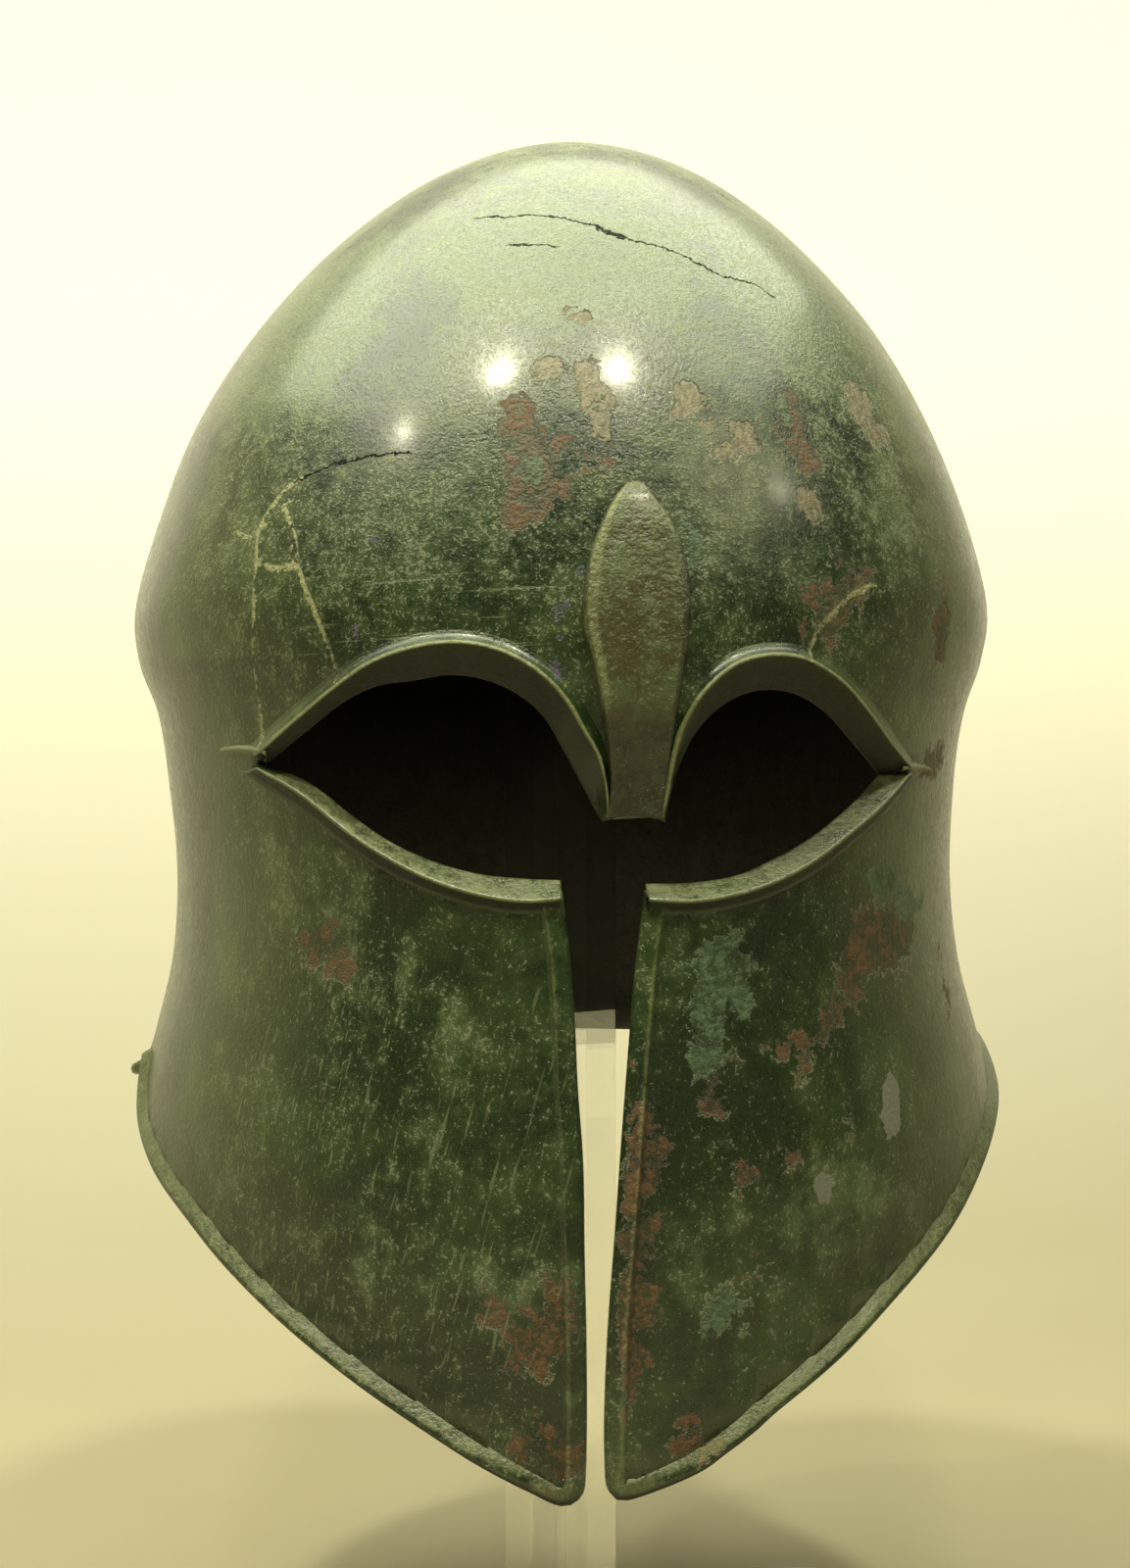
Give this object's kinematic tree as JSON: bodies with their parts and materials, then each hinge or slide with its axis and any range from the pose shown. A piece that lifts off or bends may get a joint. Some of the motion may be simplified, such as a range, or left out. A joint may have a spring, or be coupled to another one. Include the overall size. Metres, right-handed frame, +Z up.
{
  "type": "bronze corinthian helmet on a clear post stand",
  "caption": "Closed bronze helmet with almond eye openings, a leaf boss over the nasal and long cheekpieces, held up on a clear square post.",
  "frame": {"origin": "centre of the base's underside, on the table", "axes": "+Z up, -Y the way the face looks, +X towards the wearer's left hand"},
  "size_m": [0.2078, 0.264, 0.366],
  "materials": {
    "patinated_bronze": "dark green corroded bronze, waxed and half glossy, with pale green speckle and brown patches",
    "clear_acrylic": "clear polished acrylic",
    "frosted_acrylic": "frosted acrylic"
  },
  "bodies": {
    "root": {"helmet_shell": "patinated_bronze", "stand_post": "clear_acrylic", "stand_base": "clear_acrylic", "crown_pad": "frosted_acrylic"}
  },
  "joints": []
}
